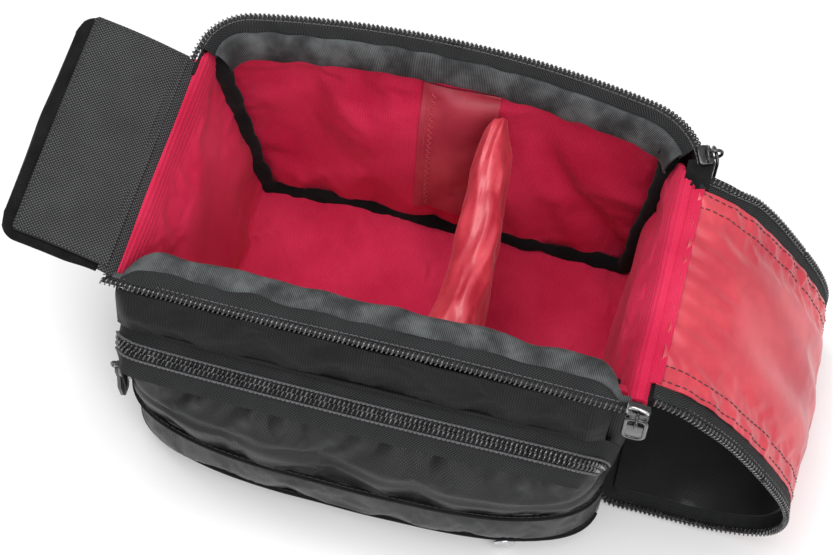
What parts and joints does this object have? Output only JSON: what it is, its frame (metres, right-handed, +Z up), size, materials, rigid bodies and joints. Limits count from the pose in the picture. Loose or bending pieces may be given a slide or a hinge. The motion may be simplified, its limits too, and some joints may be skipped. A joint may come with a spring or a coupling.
{
  "type": "camera shoulder bag",
  "caption": "Open padded camera shoulder bag with zipped lid, end flap, removable divider and zipped front pocket.",
  "frame": {"origin": "on the floor, on the underside of the base panel, below the middle of the padded compartment", "axes": "+X along the bag towards the side where the lid is hinged, -Y towards the front pocket, +Z up out of the opening"},
  "size_m": [0.3572, 0.1973, 0.1401],
  "materials": {
    "ballistic_nylon": "coarse woven",
    "plain_nylon": "fine woven",
    "black_webbing": "matte woven",
    "grosgrain": "ribbed",
    "zip_tape": "herringbone",
    "zip_coil": "satin",
    "red_knit": "brushed knit",
    "red_satin": "glossy woven",
    "foam": "closed-cell foam",
    "stiffener": "plain",
    "bright_steel": "polished",
    "black_metal": "satin",
    "moulded": "moulded"
  },
  "bodies": {
    "bag": {"base_panel": "ballistic_nylon", "base_board": "stiffener", "base_foam": "foam", "outer_left": "plain_nylon", "outer_right": "plain_nylon", "outer_front": "plain_nylon", "outer_back": "plain_nylon", "foam_left": "foam", "foam_right": "foam", "foam_front": "foam", "foam_back": "foam", "lining_strip": "red_knit", "lining_back": "red_knit", "lining_front": "red_knit", "binding_back": "black_webbing", "binding_front": "black_webbing", "facing_front": "grosgrain", "zip_tape_front": "zip_tape", "zip_coil_front": "zip_coil", "zip_tape_back": "zip_tape", "facing_back": "grosgrain", "zip_coil_back": "zip_coil", "upper_front_panel": "ballistic_nylon", "pocket_panel": "ballistic_nylon", "pocket_tape_upper": "zip_tape", "pocket_tape_lower": "zip_tape", "pocket_zip_coil": "zip_coil", "piping_upper": "black_webbing", "piping_lower": "black_webbing", "snap_stud": "bright_steel", "ring_tab_left": "black_webbing", "ring_tab_right": "black_webbing"},
    "d_ring_left": {"d_ring_left": "bright_steel"},
    "d_ring_right": {"d_ring_right": "bright_steel"},
    "front_slider": {"front_slider": "black_metal"},
    "front_pull": {"front_pull": "black_metal"},
    "back_slider": {"back_slider": "black_metal"},
    "back_pull": {"back_pull": "black_metal"},
    "pocket_slider": {"pocket_slider": "black_metal"},
    "pocket_pull": {"pocket_pull": "moulded"},
    "divider": {"divider_pad": "red_satin", "divider_tab_back": "red_satin", "divider_tab_front": "red_satin"},
    "end_flap": {"end_flap_panel": "ballistic_nylon", "end_flap_backing": "black_webbing"},
    "lid_near": {"lid_near_outer": "ballistic_nylon", "lid_near_satin": "red_satin", "lid_near_coil_front": "zip_coil", "lid_near_coil_back": "zip_coil"},
    "lid_mid": {"lid_mid_outer": "ballistic_nylon", "lid_mid_satin": "red_satin", "lid_mid_tape_front": "zip_tape", "lid_mid_tape_back": "zip_tape", "lid_mid_coil_front": "zip_coil", "lid_mid_coil_back": "zip_coil"},
    "lid_far": {"lid_far_outer": "ballistic_nylon", "lid_far_satin": "red_satin", "lid_far_tape": "zip_tape", "lid_far_coil": "zip_coil"}
  },
  "joints": [
    {"name": "lid_hinge", "type": "hinge", "parent": "bag", "child": "lid_near", "pos_m": [0.1185, 0, 0.1222], "axis": [0, -1, 0], "range_deg": [0, 204]},
    {"name": "lid_fold_mid", "type": "hinge", "parent": "lid_near", "child": "lid_mid", "pos_m": [0.1483, 0, 0.1076], "axis": [0, -1, 0], "range_deg": [0, 36]},
    {"name": "lid_fold_far", "type": "hinge", "parent": "lid_mid", "child": "lid_far", "pos_m": [0.19075, 0, 0.01211], "axis": [0, -1, 0], "range_deg": [0, 116]},
    {"name": "end_flap_hinge", "type": "hinge", "parent": "bag", "child": "end_flap", "pos_m": [-0.1176, 0, 0.122], "axis": [0, 1, 0], "range_deg": [-76, 156]},
    {"name": "divider_lift", "type": "slide", "parent": "bag", "child": "divider", "axis": [0, 0, -1], "range_m": [-0.12, 0]},
    {"name": "front_slider_run", "type": "slide", "parent": "bag", "child": "front_slider", "axis": [-1, 0, 0], "range_m": [0, 0.214]},
    {"name": "front_pull_swing", "type": "hinge", "parent": "front_slider", "child": "front_pull", "pos_m": [0.116, -0.0701, 0.1221], "axis": [-1, 0, 0], "range_deg": [0, 95]},
    {"name": "back_slider_run", "type": "hinge", "parent": "bag", "child": "back_slider", "pos_m": [0.084, 0.048, 0.1215], "axis": [0, 0, 1], "range_deg": [0, 54]},
    {"name": "back_pull_swing", "type": "hinge", "parent": "back_slider", "child": "back_pull", "pos_m": [0.12396, 0.06415, 0.1239], "axis": [0.3746, -0.9272, 0], "range_deg": [0, 95]},
    {"name": "pocket_slider_run", "type": "slide", "parent": "bag", "child": "pocket_slider", "axis": [0, 0, 1], "range_m": [0, 0.022]},
    {"name": "pocket_pull_swing", "type": "hinge", "parent": "pocket_slider", "child": "pocket_pull", "pos_m": [-0.1179, -0.0706, 0.05], "axis": [0, 1, 0], "range_deg": [0, 95]},
    {"name": "d_ring_left_swing", "type": "hinge", "parent": "bag", "child": "d_ring_left", "pos_m": [-0.1138, 0, 0.0678], "axis": [0, 1, 0], "range_deg": [0, 90]},
    {"name": "d_ring_right_swing", "type": "hinge", "parent": "bag", "child": "d_ring_right", "pos_m": [0.1181, 0, 0.0678], "axis": [0, -1, 0], "range_deg": [0, 90]}
  ]
}
